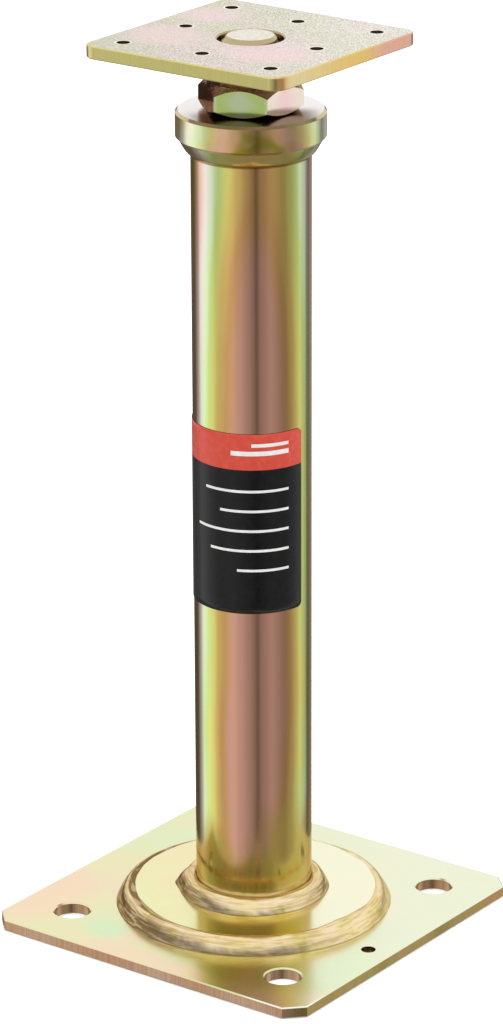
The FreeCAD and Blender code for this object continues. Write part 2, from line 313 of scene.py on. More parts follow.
def tube_metal():
    """Drawn tube: upright bands of film colour that waver on the way up, gold at its foot, painted
    shade on its right side, and painted dark reflections near its left and right edges.
    """
    metal = Surface("plated_tube", WARM)
    waver = metal.uneven((24.0, 24.0, 18.0), 0.17, 2.5)
    lower_half = metal.span(metal.z, 180 * MM, 275 * MM, -0.25, 0.0)
    right = metal.span(metal.sideways(), -0.1, 0.4)
    foot = metal.math("MULTIPLY", metal.span(metal.z, 20 * MM, 70 * MM, 0.22, 0.0), right)
    drift = metal.math("ADD", metal.math("ADD", waver, lower_half), foot)
    bands = [
        (-0.14, PINK),
        (-0.01, COPPER),
        (0.11, GOLD),
        (0.23, YELLOW),
        (0.35, LEAF),
        (0.47, MINT),
        (0.60, BLUSH),
        (0.80, ROSE),
        (0.94, GOLD),
        (1.10, OLIVE),
    ]
    colour = film_colour(metal, film_order(metal, drift), bands)

    # Painted reflection: dark brown strips near the tube's left and right edges, stronger low down.
    dark_flank_painted_reflection = (0.36, 0.20, 0.10)
    side = metal.math("ABSOLUTE", metal.sideways())
    by_height = metal.span(metal.z, 90 * MM, 260 * MM, 0.85, 0.45)
    painted_flank_reflection = metal.math("MULTIPLY", metal.span(side, 0.88, 0.95), by_height)
    colour = metal.mix(painted_flank_reflection, colour, dark_flank_painted_reflection)

    foot_gold = (0.56, 0.40, 0.10)
    root_straw = (0.76, 0.70, 0.46)
    tongues = metal.math("ADD", metal.z, metal.uneven((70.0, 70.0, 30.0), 22 * MM))
    colour = metal.mix(metal.span(tongues, 26 * MM, 44 * MM, 0.85, 0.0), colour, foot_gold)
    colour = metal.mix(metal.span(metal.z, 13.5 * MM, 17 * MM, 0.85, 0.0), colour, root_straw)

    neck_olive = (0.40, 0.33, 0.12)
    toe = COLLAR_SEAT - COLLAR_WELD_RISE
    in_front = metal.span(metal.facing(BAND_BEARING), 0.3, 0.95, 0.12, 0.6)
    neck = metal.math("MULTIPLY", metal.span(metal.z, toe, toe + 0.8 * MM), in_front)
    colour = metal.mix(neck, colour, neck_olive)
    from_toe = metal.math("ABSOLUTE", metal.math("SUBTRACT", metal.z, toe))
    colour = metal.mix(metal.span(from_toe, 0.3 * MM, 0.7 * MM, 0.8, 0.0), colour, BROWN)

    drawn = metal.noise(metal.stretched(metal.place, (900.0, 900.0, 9.0)), 1.0, 3.0)
    metal.bump(drawn, 0.01 * MM, 0.4)
    return metal.finish(colour, metal.span(drawn, 0.3, 0.7, 0.11, 0.18))


def rolled_grain(metal):
    """The fine grain of rolled plate."""
    metal.bump(metal.noise(metal.place, 2200.0), 0.015 * MM, 0.25)


def sheared_lines(metal):
    """Fine upright lines, as on a sheared or punched edge."""
    return metal.noise(metal.stretched(metal.place, (2300.0, 2300.0, 60.0)), 1.0)


def turned_lines(metal):
    """Fine tool lines round the axis."""
    lines = metal.noise(metal.stretched(metal.place, (6.0, 6.0, 5200.0)), 1.0)
    metal.bump(lines, 0.006 * MM, 0.3)


def base_top(metal):
    """The anchor plate's top: clouds of straw, pink and green, paler to the right, with a painted
    gold reflection of the post in front.
    """
    straw = (0.84, 0.80, 0.48)
    sand = (0.90, 0.74, 0.52)
    reed = (0.76, 0.84, 0.52)
    cloud = metal.noise(metal.stretched(metal.place, (19.0, 19.0, 60.0)), 1.0, 1.5)
    clouds = [(0.32, sand), (0.45, straw), (0.58, reed), (0.68, straw)]
    colour = metal.ramp(cloud, 0.3, 0.7, clouds)

    pale_green = (0.88, 0.91, 0.72)
    across = metal.turned(BAND_BEARING)[1]
    colour = metal.mix(metal.span(across, -30 * MM, 60 * MM, 0.0, 0.75), colour, pale_green)

    # Painted reflection of the post: a gold strip on the top in front of it.
    painted_post_reflection = (0.62, 0.57, 0.15)
    near = metal.span(metal.radius(), 58 * MM, 86 * MM, 0.8, 0.0)
    front = metal.math("MULTIPLY", metal.strip(from_band(-10), 2 * MM, 26 * MM), near)
    colour = metal.mix(front, colour, painted_post_reflection)

    green = (0.60, 0.88, 0.56)
    light_green = (0.74, 0.92, 0.62)
    peach = (0.95, 0.70, 0.50)
    ivory = (0.98, 0.93, 0.82)
    for centre, size, tint, share in (
        ((-26 * MM, -50 * MM), (11 * MM, 9 * MM), green, 0.6),
        ((-58 * MM, -40 * MM), (16 * MM, 30 * MM), peach, 0.7),
        ((5 * MM, -62 * MM), (30 * MM, 8 * MM), peach, 0.7),
        ((58 * MM, -30 * MM), (12 * MM, 26 * MM), light_green, 0.6),
        ((60 * MM, -62 * MM), (20 * MM, 16 * MM), ivory, 0.9),
    ):
        there = metal.math("MULTIPLY", metal.patch(centre, size), share)
        colour = metal.mix(there, colour, tint)
    return colour


def base_metal():
    """Anchor plate: pale film on top, and brown, olive and gold on its cut edges."""
    metal = Surface("plated_base")
    top = base_top(metal)

    warms = [(0.35, (0.72, 0.42, 0.24)), (0.6, (0.76, 0.50, 0.34))]
    olives = [(0.35, (0.31, 0.25, 0.06)), (0.5, (0.41, 0.30, 0.09)), (0.65, (0.48, 0.28, 0.10))]
    cloud = metal.noise(metal.stretched(metal.place, (30.0, 30.0, 10.0)), 1.0)
    warm = metal.ramp(cloud, 0.3, 0.7, warms)
    olive = metal.ramp(cloud, 0.3, 0.7, olives)
    side = metal.mix(metal.span(metal.x, 58 * MM, 64 * MM), warm, olive)
    lines = sheared_lines(metal)
    side = metal.mix(metal.span(lines, 0.35, 0.7, 0.0, 0.3), side, BROWN)
    upright = metal.upright(48, 60)
    colour = metal.mix(upright, top, side)

    wall_brown = (0.40, 0.24, 0.10)
    anchor_wall = metal.span(metal.hole_distance(ANCHOR_HOLES), 6.6 * MM, 7.2 * MM, 0.5, 0.0)
    colour = metal.mix(metal.math("MULTIPLY", upright, anchor_wall), colour, wall_brown)
    small_wall = metal.patch(PLATING_HOLE, (5 * MM, 5 * MM))
    colour = metal.mix(metal.math("MULTIPLY", upright, small_wall), colour, UMBER)

    rolled_grain(metal)
    metal.bump(metal.math("MULTIPLY", lines, upright), 0.02 * MM, 0.5)
    return metal.finish(colour, 0.22)


def disc_metal():
    """Reinforcing disc: yellow film with faint clouds, paler on one side, with a painted reflection
    of the tube in front.
    """
    metal = Surface("plated_disc")
    cloud = metal.noise(metal.stretched(metal.place, (24.0, 24.0, 60.0)), 1.0, 1.5)
    clouds = [(0.34, (0.90, 0.80, 0.46)), (0.48, (0.86, 0.84, 0.46)), (0.64, (0.80, 0.86, 0.54))]
    colour = metal.ramp(cloud, 0.3, 0.7, clouds)
    pale_yellow = (0.95, 0.93, 0.72)
    painted_tube_reflection = (0.80, 0.73, 0.24)
    across = metal.turned(BAND_BEARING)[1]
    colour = metal.mix(metal.span(across, -20 * MM, 30 * MM, 0.0, 0.85), colour, pale_yellow)
    # Painted reflection of the tube: a deeper yellow strip on the top in front of it.
    colour = metal.mix(metal.strip(BAND_BEARING, 8 * MM, 16 * MM), colour, painted_tube_reflection)
    rolled_grain(metal)
    return metal.finish(colour, 0.18)


def head_top(metal, grain):
    """The head plate's top: grainy pale film with pink and green clouds, and a painted highlight
    round its holes.
    """
    cloud = metal.noise(metal.stretched(metal.place, (30.0, 30.0, 80.0), 0.6), 1.0, 1.5)
    clouds = [(0.38, (0.80, 0.80, 0.58)), (0.5, (0.86, 0.81, 0.68)), (0.6, (0.94, 0.78, 0.76))]
    colour = metal.ramp(cloud, 0.3, 0.7, clouds)

    dun = (0.52, 0.45, 0.33)
    ivory = (0.98, 0.95, 0.89)
    across = metal.turned(BAND_BEARING)[1]
    colour = metal.mix(metal.span(across, -55 * MM, 40 * MM, 0.4, 0.0), colour, dun)
    colour = metal.mix(metal.span(across, 0.0, 50 * MM, 0.0, 0.6), colour, ivory)

    dark_grain = (0.36, 0.31, 0.18)
    light_grain = (0.99, 0.97, 0.93)
    colour = metal.mix(metal.span(grain, 0.47, 0.60, 0.0, 0.75), colour, dark_grain)
    colour = metal.mix(metal.span(grain, 0.47, 0.36, 0.0, 0.7), colour, light_grain)

    cloud_pink = (0.97, 0.68, 0.74)
    for centre, size in (
        ((-25 * MM, -13 * MM), (20 * MM, 17 * MM)),
        ((-29 * MM, 17 * MM), (15 * MM, 13 * MM)),
        ((17 * MM, -14 * MM), (22 * MM, 15 * MM)),
    ):
        there = metal.math("MULTIPLY", metal.patch(centre, size), 0.55)
        colour = metal.mix(there, colour, cloud_pink)

    # Painted highlight: a white ring round the mouth of each screw hole.
    painted_rim_highlight = (0.99, 0.98, 0.94)
    ring = metal.span(metal.hole_distance(HEAD_HOLES), 2.5 * MM, 3.1 * MM, 0.9, 0.0)
    return metal.mix(ring, colour, painted_rim_highlight)


def head_metal():
    """Head plate: grainy pale film on top, yellow to salmon on its cut edges."""
    metal = Surface("plated_head")
    grain = metal.noise(metal.place, 2100.0, roughness=0.7)
    edges = [
        (-HEAD_HALF, (0.74, 0.67, 0.25)),
        (-HEAD_HALF + 3 * MM, COPPER),
        (-32 * MM, (0.84, 0.70, 0.36)),
        (5 * MM, GOLD),
        (24 * MM, (0.82, 0.46, 0.34)),
    ]
    side = metal.ramp(metal.y, -HEAD_HALF, HEAD_HALF, edges)
    lines = sheared_lines(metal)
    side = metal.mix(metal.span(lines, 0.4, 0.7, 0.0, 0.08), side, BROWN)
    upright = metal.upright(20, 35)
    colour = metal.mix(upright, head_top(metal, grain), side)

    wall_olive = (0.48, 0.38, 0.20)
    within = metal.span(metal.off_middle(), HEAD_HALF - 3 * MM, HEAD_HALF - 1 * MM, 1.0, 0.0)
    colour = metal.mix(metal.math("MULTIPLY", upright, within), colour, wall_olive)

    metal.bump(grain, 0.06 * MM, 0.6)
    metal.bump(metal.math("MULTIPLY", lines, upright), 0.012 * MM, 0.25)
    return metal.finish(colour, metal.math("MULTIPLY_ADD", upright, -0.10, 0.30))


def collar_metal():
    """Collar: film bands round the rim, golden above and rosy below, and a pale top with a painted
    shadow and reflection of the nut in front.
    """
    metal = Surface("plated_collar")
    climb = metal.span(metal.z, COLLAR_SEAT, COLLAR_TOP, -0.06, 0.08)
    order = film_order(metal, metal.math("ADD", metal.uneven((95.0, 95.0, 130.0), 0.16), climb))
    bands = [
        (-0.12, (0.74, 0.46, 0.26)),
        (0.02, (0.44, 0.35, 0.05)),
        (0.10, (0.80, 0.48, 0.24)),
        (0.20, (0.86, 0.52, 0.34)),
        (0.32, (0.86, 0.68, 0.28)),
        (0.44, (0.80, 0.84, 0.36)),
        (0.58, (0.78, 0.92, 0.52)),
        (0.76, CREAM),
        (1.00, GOLD),
    ]
    rim = film_colour(metal, order, bands)
    edge_tan = (0.62, 0.50, 0.26)
    edge = metal.span(metal.z, COLLAR_TOP - 1.1 * MM, COLLAR_TOP - 0.8 * MM)
    rim = metal.mix(edge, rim, edge_tan)
    # Painted shadow and reflection of the nut: a dark umber strip on the pale top, in front of the
    # nut.
    top = metal.mix(metal.strip(from_band(8), 15 * MM, 9 * MM), PALE, UMBER)
    upright = metal.upright(15, 30)
    colour = metal.mix(upright, top, rim)
    turned_lines(metal)
    return metal.finish(colour, metal.math("MULTIPLY_ADD", upright, -0.07, 0.24))


def nut_metal():
    """Hexagon nut: film that changes from the middle to the rim of each flat, painted highlights on
    its corners, and painted shade on its chamfers.

    Places round the nut count in flats, from the middle of the flat in front: -0.5 and 0.5 are the
    corners beside it, and -3 and 3 are behind.
    """
    metal = Surface("plated_nut", ROSY)
    dark = (0.13, 0.06, 0.05)
    rims = [
        (-3.0, YELLOW),
        (-2.5, GOLD),
        (-1.5, (0.19, 0.09, 0.06)),
        (-0.5, (0.58, 0.78, 0.22)),
        (0.5, (0.98, 0.84, 0.74)),
        (1.5, ROSE),
        (2.5, YELLOW),
    ]
    middles = [
        (-3.0, LEAF),
        (-2.5, ROSE),
        (-1.5, dark),
        (-0.5, (0.68, 0.80, 0.50)),
        (0.5, (0.98, 0.72, 0.70)),
        (1.5, GOLD),
        (2.5, LEAF),
    ]
    # Painted shade on the chamfers, where they face the head plate's underside and its shadow:
    # darkest on the left, brown elsewhere.
    chamfer_brown = (0.50, 0.36, 0.15)
    chamfers = [
        (-3.0, chamfer_brown),
        (-1.6, dark),
        (-0.7, dark),
        (-0.4, (0.34, 0.20, 0.09)),
        (0.5, (0.42, 0.28, 0.12)),
        (3.0, chamfer_brown),
    ]
    face = metal.math("DIVIDE", metal.bearing(from_band(NUT_FLAT)), TURN / 6)
    to_corner = metal.math("PINGPONG", metal.math("ADD", face, 3.0), 0.5)
    middle_level = (COLLAR_TOP + NUT_TOP) / 2
    from_middle = metal.math("ABSOLUTE", metal.math("SUBTRACT", metal.z, middle_level))
    off = metal.math("ADD", to_corner, metal.span(from_middle, 0.0, 4.5 * MM, 0.0, 0.2))
    cloud = metal.uneven((150.0, 150.0, 190.0), 0.16)
    middle = metal.span(metal.math("ADD", off, cloud), 0.08, 0.45, 0.9, 0.0)
    rim_colour = metal.ramp(face, -3.0, 3.0, rims, "CONSTANT")
    middle_colour = metal.ramp(face, -3.0, 3.0, middles, "CONSTANT")
    colour = metal.mix(middle, rim_colour, middle_colour)
    # Painted highlight: a cream line along each corner between the flats.
    colour = metal.mix(metal.span(to_corner, 0.43, 0.5, 0.0, 0.6), colour, CREAM)
    # The chamfers get their painted shade.
    slant = metal.math("SUBTRACT", 1.0, metal.upright(60, 80))
    colour = metal.mix(slant, colour, metal.ramp(face, -3.0, 3.0, chamfers))

    worn_tan = (0.80, 0.70, 0.46)
    speckle = metal.span(metal.noise(metal.place, 1500.0), 0.52, 0.66)
    worn = metal.math("MULTIPLY", speckle, metal.span(from_middle, 1.5 * MM, 4.5 * MM, 0.1, 0.6))
    colour = metal.mix(worn, colour, worn_tan)
    turned_lines(metal)
    return metal.finish(colour, 0.13)


def spindle_metal():
    """Spindle: yellow film on the thread, brown on the upper chamfer and pale on the ends."""
    metal = Surface("plated_spindle")
    cloud = metal.uneven((60.0, 60.0, 60.0), 0.5)
    yellows = [(-0.3, (0.80, 0.60, 0.30)), (0.1, (0.84, 0.74, 0.42)), (0.4, CREAM)]
    thread = metal.ramp(cloud, -0.5, 0.5, yellows)
    chamfer_brown = (0.50, 0.41, 0.23)
    near_end = metal.span(metal.z, SPINDLE_TOP - SPINDLE_CHAMFER, SPINDLE_TOP - 0.9 * SPINDLE_CHAMFER)
    round_it = metal.mix(near_end, thread, chamfer_brown)
    mottle = metal.span(metal.noise(metal.place, 900.0, 3.0), 0.4, 0.6)
    end = metal.mix(mottle, (0.86, 0.80, 0.70), (0.74, 0.67, 0.54))
    colour = metal.mix(metal.upright(15, 30), end, round_it)
    turned_lines(metal)
    return metal.finish(colour, 0.2)


STREAK_LENGTH = 8 * MM
STREAK_WIDTH = 1.1 * MM


def weld_metal(name, core, level, rise, left, right):
    """Weld bead under the plating: gold and rose in long streaks, brown at its toe, with painted
    shade low down on its sides.

    The bead runs round a core of some radius, and rises from a level. The last two values are how
    much painted shade it gets on the left and on the right.
    """
    metal = Surface(name, WARM)
    out = metal.math("SUBTRACT", metal.radius(), core)
    tints = [
        (0.32, (0.68, 0.56, 0.18)),
        (0.46, (0.87, 0.70, 0.33)),
        (0.56, (0.90, 0.70, 0.42)),
        (0.70, (0.78, 0.65, 0.26)),
    ]
    colour = metal.ramp(metal.noise(metal.place, 90.0, 3.0), 0.2, 0.8, tints)

    streak_brown = (0.46, 0.30, 0.12)
    streak_cream = (0.96, 0.86, 0.64)
    along_x = metal.math("MULTIPLY", metal.x, 1 / STREAK_LENGTH)
    along_y = metal.math("MULTIPLY", metal.y, 1 / STREAK_LENGTH)
    over_it = metal.math("MULTIPLY", metal.math("SUBTRACT", metal.z, out), 1 / STREAK_WIDTH)
    streak = metal.noise(metal.joined(along_x, along_y, over_it), 1.0, 3.0)
    colour = metal.mix(metal.span(streak, 0.34, 0.52, 0.42, 0.0), colour, streak_brown)
    colour = metal.mix(metal.span(streak, 0.48, 0.66, 0.0, 0.5), colour, streak_cream)

    height = metal.math("DIVIDE", metal.math("SUBTRACT", metal.z, level), rise)
    colour = metal.mix(metal.span(height, 0.0, 0.1, 0.6, 0.0), colour, BROWN)

    # Painted shade: brown on the bead's left and right sides, low down and by its root.
    side_painted_shade = (0.22, 0.13, 0.05)
    low = metal.span(height, 0.7, 1.0, 1.0, 0.1)
    root = metal.span(out, 0.2 * MM, 1.2 * MM, 1.0, 0.0)
    shaded = metal.math("MAXIMUM", low, root)
    between = metal.span(streak, 0.48, 0.58, 1.0, 0.55)
    for bearing, share in ((-95, left), (105, right)):
        side = metal.span(metal.facing(from_band(bearing)), 0.2, 0.9, 0.0, share)
        shade = metal.math("MULTIPLY", metal.math("MULTIPLY", side, shaded), between)
        colour = metal.mix(shade, colour, side_painted_shade)
    return metal.finish(colour, 0.19)


def film_plastic(name, colour, worn, rough):
    """Printed plastic film, with a faint unevenness in its colour and gloss."""
    film = Surface(name, metallic=0.0)
    film.put(film.sockets["Specular IOR Level"], 0.3)
    mottle = film.noise(film.place, 400.0, 3.0)
    tone = film.mix(film.span(mottle, 0.35, 0.75), colour, worn)
    film.bump(film.noise(film.place, 900.0), 0.004 * MM, 0.12)
    return film.finish(tone, film.span(mottle, 0.3, 0.7, rough - 0.04, rough + 0.04))


def add_piece(name, points, faces, body, node, materials, face_materials=None):
    """Make a smooth mesh that stands for a node of the part and moves with a body."""
    mesh = bpy.data.meshes.new(name)
    mesh.from_pydata(points, [], faces)
    for material in materials:
        mesh.materials.append(material)
    if face_materials:
        mesh.polygons.foreach_set("material_index", face_materials)
    mesh.polygons.foreach_set("use_smooth", [True] * len(faces))
    mesh.update()
    piece = bpy.data.objects.new(name, mesh)
    bpy.context.scene.collection.objects.link(piece)
    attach(piece, body)
    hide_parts(node)


def hump(angle, centre, width):
    """1 at a bearing in radians, falling off to 0 over a width."""
    away = math.remainder(angle - centre, TURN) / width
    return math.exp(-away * away)


def wander(angle, rate, seed):
    """Smooth noise round a ring, from about -1 to 1, that meets itself after a turn."""
    return noise.noise(Vector((rate * math.cos(angle), rate * math.sin(angle), seed)))


RING_STEPS = 1200
OUTER_STEPS = 16
INNER_STEPS = 8

# A place where a weld stopped: its bearing and width in radians, and what it adds to the bead's
# reach, rise and lap.
Stop = namedtuple("Stop", "centre width reach rise lap")


class Bead:
    """A ring of weld: a rounded crown with an uneven toe, wrinkles and places where it stopped.

    It stands on a root circle, reaches out from it to its toe, and is highest at its crown, a step
    outside the root. Behind the crown it dips, and laps over what the root circle bounds.
    """

    def __init__(self, root, reach, crown, rise, lap, dip, seed):
        self.root = root
        self.reach = reach
        self.crown = crown
        self.rise = rise
        self.lap = lap
        self.dip = dip
        self.seed = seed
        self.flatness = 1.2
        self.wrinkle_size = 1.6 * MM
        self.wrinkle_depth = 0.035 * MM
        self.lump_size = 6.0 * MM
        self.lump_depth = 0.10 * MM
        self.stops = []

    def relief(self, angle, lean):
        """How far the surface stands out of its smooth shape, at a place round and over the bead."""
        slanted = angle + 1.2 * self.wrinkle_size * lean / self.root
        wrinkle = wander(slanted, self.root / self.wrinkle_size, self.seed + 0.9 * lean)
        lump = wander(angle, self.root / self.lump_size, self.seed + 31 + 0.7 * lean)
        return self.wrinkle_depth * wrinkle + self.lump_depth * lump

    def section(self, angle):
        """Points (distance from the axis, height) of the section at an angle, toe first."""
        seed = self.seed
        uneven = 0.07 * wander(angle, 1.6, seed) + 0.02 * wander(angle, 9.0, seed + 5)
        reach = self.reach * (1 + uneven)
        rise = self.rise * (1 + 0.06 * wander(angle, 2.4, seed + 11))
        lap = self.lap * (1 + 0.3 * wander(angle, 7.0, seed + 17))
        for stop in self.stops:
            share = hump(angle, stop.centre, stop.width)
            reach += stop.reach * share
            rise += stop.rise * share
            lap += stop.lap * share
        top = self.root + self.crown
        toe = self.root + reach
        end = self.root - lap
        end_height = rise - self.dip
        points = []
        for i in range(OUTER_STEPS + 1):
            lean = i / OUTER_STEPS * TURN / 4
            outward = math.cos(lean) ** self.flatness
            upward = math.sin(lean) ** 2
            swell = self.relief(angle, lean) * math.sin(min(2 * lean, TURN / 4))
            points.append((top + (toe - top + swell) * outward, (rise + swell) * upward))
        for i in range(1, INNER_STEPS + 1):
            lean = i / INNER_STEPS * TURN / 4
            swell = self.relief(angle, TURN / 4 + lean) * math.cos(lean)
            out = top - (top - end) * math.sin(lean)
            points.append((out, end_height + (rise - end_height) * math.cos(lean) + swell))
        points.append((end, 0.0))
        return points

    def build(self, name, level, upward, body, node, material):
        """Make the ring as a closed mesh, standing on a level or hanging under it."""
        points = []
        for step in range(RING_STEPS):
            angle = step / RING_STEPS * TURN
            for out, height in self.section(angle):
                points.append((out * math.cos(angle), out * math.sin(angle), level + upward * height))
        across = len(points) // RING_STEPS
        faces = []
        for step in range(RING_STEPS):
            here = step * across
            there = (step + 1) % RING_STEPS * across
            for i in range(across):
                j = (i + 1) % across
                face = (here + i, there + i, there + j, here + j)
                faces.append(face if upward > 0 else face[::-1])
        add_piece(name, points, faces, body, node, [material])


# Which way a bead grows from its level.
STANDING = 1
HANGING = -1


def build_tube_weld():
    """The fillet weld round the foot of the tube, thicker where it stopped on the left."""
    bead = Bead(
        root=TUBE_RADIUS,
        reach=6.0 * MM,
        crown=2.3 * MM,
        rise=5.0 * MM,
        lap=0.0,
        dip=0.45 * MM,
        seed=3.0,
    )
    bead.stops = [Stop(from_band(-96), 0.14, 1.7 * MM, 0.6 * MM, 0.0)]
    metal = weld_metal("plated_tube_weld", TUBE_RADIUS, DISC_TOP, bead.rise, left=0.8, right=0.6)
    bead.build("tube_weld_bead", DISC_TOP, STANDING, "post", "tube_weld", metal)


def build_disc_weld():
    """The fillet weld round the disc, which laps over its rim in front and is slimmer behind."""
    bead = Bead(
        root=DISC_RADIUS,
        reach=4.6 * MM,
        crown=0.6 * MM,
        rise=5.5 * MM,
        lap=1.0 * MM,
        dip=0.5 * MM,
        seed=8.0,
    )
    bead.stops = [
        Stop(from_band(-70), 0.7, 0.5 * MM, 0.2 * MM, 1.2 * MM),
        Stop(from_band(46), 0.28, 0.1 * MM, 0.1 * MM, 1.5 * MM),
        Stop(from_band(180), 1.1, -0.6 * MM, -0.6 * MM, -0.95 * MM),
    ]
    metal = weld_metal("plated_disc_weld", DISC_RADIUS, BASE_TOP, bead.rise, left=1.0, right=0.0)
    bead.build("disc_weld_bead", BASE_TOP, STANDING, "post", "disc_weld", metal)


def build_collar_weld(metal):
    """The smooth weld from the tube up to the collar's underside, under the tube's own film."""
    bead = Bead(
        root=TUBE_RADIUS,
        reach=3.9 * MM,
        crown=0.1 * MM,
        rise=COLLAR_WELD_RISE,
        lap=0.0,
        dip=0.1 * MM,
        seed=21.0,
    )
    bead.wrinkle_depth = 0.02 * MM
    bead.build("collar_weld_bead", COLLAR_SEAT, HANGING, "post", "collar_weld", metal)


def build_spindle_weld():
    """The hollow fillet that holds the head plate to the spindle, under the plate."""
    bead = Bead(
        root=SPINDLE_RADIUS,
        reach=3.3 * MM,
        crown=0.2 * MM,
        rise=3.3 * MM,
        lap=0.0,
        dip=0.1 * MM,
        seed=14.0,
    )
    bead.flatness = 2.0
    name = "plated_spindle_weld"
    metal = weld_metal(name, SPINDLE_RADIUS, HEAD_UNDERSIDE, -bead.rise, left=0.3, right=0.3)
    bead.build("spindle_weld_bead", HEAD_UNDERSIDE, HANGING, "head", "spindle_weld", metal)


# The spindle's thread. It starts a turn below the spindle and ends above it, and is cut off there.
THREAD_PITCH = 2.5 * MM
THREAD_DEPTH = 1.5 * MM
THREAD_CREST = 0.16 * THREAD_PITCH
THREAD_FLANK = 0.34 * THREAD_PITCH
THREAD_STEPS = 72
SPARE_TURNS = 2


def build_spindle(material):
    """The spindle with its right-hand thread cut, running out on the chamfers at both ends."""
    valley = THREAD_PITCH - THREAD_CREST - 2 * THREAD_FLANK
    low = SPINDLE_RADIUS - THREAD_DEPTH
    profile = [
        (0.0, low),
        (valley, low),
        (valley + THREAD_FLANK, SPINDLE_RADIUS),
        (valley + THREAD_FLANK + THREAD_CREST, SPINDLE_RADIUS),
    ]
    turns = math.ceil((SPINDLE_TOP - SPINDLE_BOTTOM) / THREAD_PITCH) + SPARE_TURNS
    start = SPINDLE_BOTTOM - THREAD_PITCH
    end_radius = SPINDLE_RADIUS - SPINDLE_CHAMFER
    points = []
    for step in range(turns * THREAD_STEPS + 1):
        angle = step / THREAD_STEPS * TURN
        for rise, radius in profile:
            height = start + step / THREAD_STEPS * THREAD_PITCH + rise
            height = min(max(height, SPINDLE_BOTTOM), SPINDLE_TOP)
            to_end = min(height - SPINDLE_BOTTOM, SPINDLE_TOP - height)
            radius = min(radius, end_radius + to_end)
            points.append((radius * math.cos(angle), radius * math.sin(angle), height))
    strands = len(profile)
    faces = []
    for step in range(turns * THREAD_STEPS):
        here = step * strands
        there = here + strands
        for i in range(strands - 1):
            faces.append((here + i, there + i, there + i + 1, here + i + 1))
        over = here + THREAD_STEPS * strands
        if over + strands < len(points):
            faces.append((here + strands - 1, there + strands - 1, over + strands, over))
    first = range(0, THREAD_STEPS * strands, strands)
    last = [len(points) - 1 - strands * i for i in range(THREAD_STEPS)]
    faces.append(tuple(reversed(first)))
    faces.append(tuple(reversed(last)))
    add_piece("spindle_threaded", points, faces, "head", "spindle", [material])


LABEL_INNER = 20.05 * MM
LABEL_OUTER = 20.25 * MM
# The sticker's flat sheet and the bars on it, in millimetres from its lower corner.
LABEL_WIDTH = 70.0
LABEL_HEIGHT = 63.5
LABEL_CORNER = 2.0
LABEL_BAND = 51.0
BAND_BARS = [(6.0, 26.0, 56.0, 57.6), (6.0, 19.0, 59.0, 60.2)]
FIELD_LENGTHS = (30.0, 24.0, 34.0, 28.0, 18.0)
FIELD_LEFT = 6.0
FIELD_TOP = 43.0
FIELD_GAP = 7.0
FIELD_BAR = 0.9
# Rows of the sheet just clear of its rounded corners, and the columns that it bends at.
LOWER_ROW = LABEL_CORNER + 0.4
UPPER_ROW = LABEL_HEIGHT - LABEL_CORNER - 0.1
LABEL_COLUMNS = 60
CORNER_STEPS = 12
# Places of the sticker's materials in its list.
BLACK_INK = 0
RED_INK = 1
PALE_INK = 2


def build_label(black, red, pale):
    """The sticker: a wrapped sheet with rounded corners, a red band, a black field and plain bars."""
    bars = list(BAND_BARS)
    for row, length in enumerate(FIELD_LENGTHS):
        bottom = FIELD_TOP - FIELD_GAP * row
        bars.append((FIELD_LEFT, FIELD_LEFT + length, bottom, bottom + FIELD_BAR))
    across = {i * LABEL_WIDTH / LABEL_COLUMNS for i in range(LABEL_COLUMNS + 1)}
    across.update(edge for bar in bars for edge in bar[:2])
    for i in range(CORNER_STEPS + 1):
        inset = LABEL_CORNER * (1 - math.cos(i * TURN / (4 * CORNER_STEPS)))
        across.update((inset, LABEL_WIDTH - inset))
    up = {0.0, LOWER_ROW, LABEL_BAND, UPPER_ROW, LABEL_HEIGHT}
    up.update(edge for bar in bars for edge in bar[2:])
    columns = sorted(across)
    rows = sorted(up)

    def rounded(u, v):
        """The height of a point of the sheet, pulled in where a corner is rounded."""
        inset = max(LABEL_CORNER - u, LABEL_CORNER - (LABEL_WIDTH - u), 0.0)
        cut = LABEL_CORNER - math.sqrt(max(LABEL_CORNER**2 - inset**2, 0.0))
        return min(max(v, cut), LABEL_HEIGHT - cut)

    def ink(u, v):
        """The ink at a point of the sheet."""
        for left, right, bottom, top in bars:
            if left < u < right and bottom < v < top:
                return PALE_INK
        return RED_INK if v > LABEL_BAND else BLACK_INK

    points = []
    for radius in (LABEL_OUTER, LABEL_INNER):
        for u in columns:
            angle = -u * MM / TUBE_RADIUS
            for v in rows:
                height = LABEL_BOTTOM + rounded(u, v) * MM
                points.append((radius * math.cos(angle), radius * math.sin(angle), height))
    count = len(rows)
    layer = len(columns) * count
    faces = []
    inks = []
    for i in range(len(columns) - 1):
        for j in range(count - 1):
            corner = i * count + j
            quad = (corner, corner + 1, corner + count + 1, corner + count)
            colour = ink((columns[i] + columns[i + 1]) / 2, (rows[j] + rows[j + 1]) / 2)
            faces.append(quad)
            faces.append(tuple(layer + k for k in reversed(quad)))
            inks += [colour, colour]
    rim = [i * count for i in range(len(columns))]
    rim += [layer - count + j for j in range(1, count)]
    rim += [i * count + count - 1 for i in range(len(columns) - 2, -1, -1)]
    rim += list(range(count - 2, 0, -1))
    for a, b in zip(rim, rim[1:] + rim[:1]):
        faces.append((b, b + layer, a + layer, a))
        inks.append(BLACK_INK)
    materials = [black, red, pale]
    add_piece("label_printed", points, faces, "post", "label", materials, inks)


# Edges between faces that turn by more than this are rounded, in so many steps.
SHARP = math.radians(35)
EDGE_STEPS = 2


def dress_node(name, material, edge=0.0):
    """Give a node of the part its material, and soft edges where it has sharp ones."""
    thing = nodes[name]
    thing.data.materials.clear()
    thing.data.materials.append(material)
    if edge:
        bevel = thing.modifiers.new("soft_edges", "BEVEL")
        bevel.width = edge
        bevel.segments = EDGE_STEPS
        bevel.limit_method = "ANGLE"
        bevel.angle_limit = SHARP
        bevel.harden_normals = True


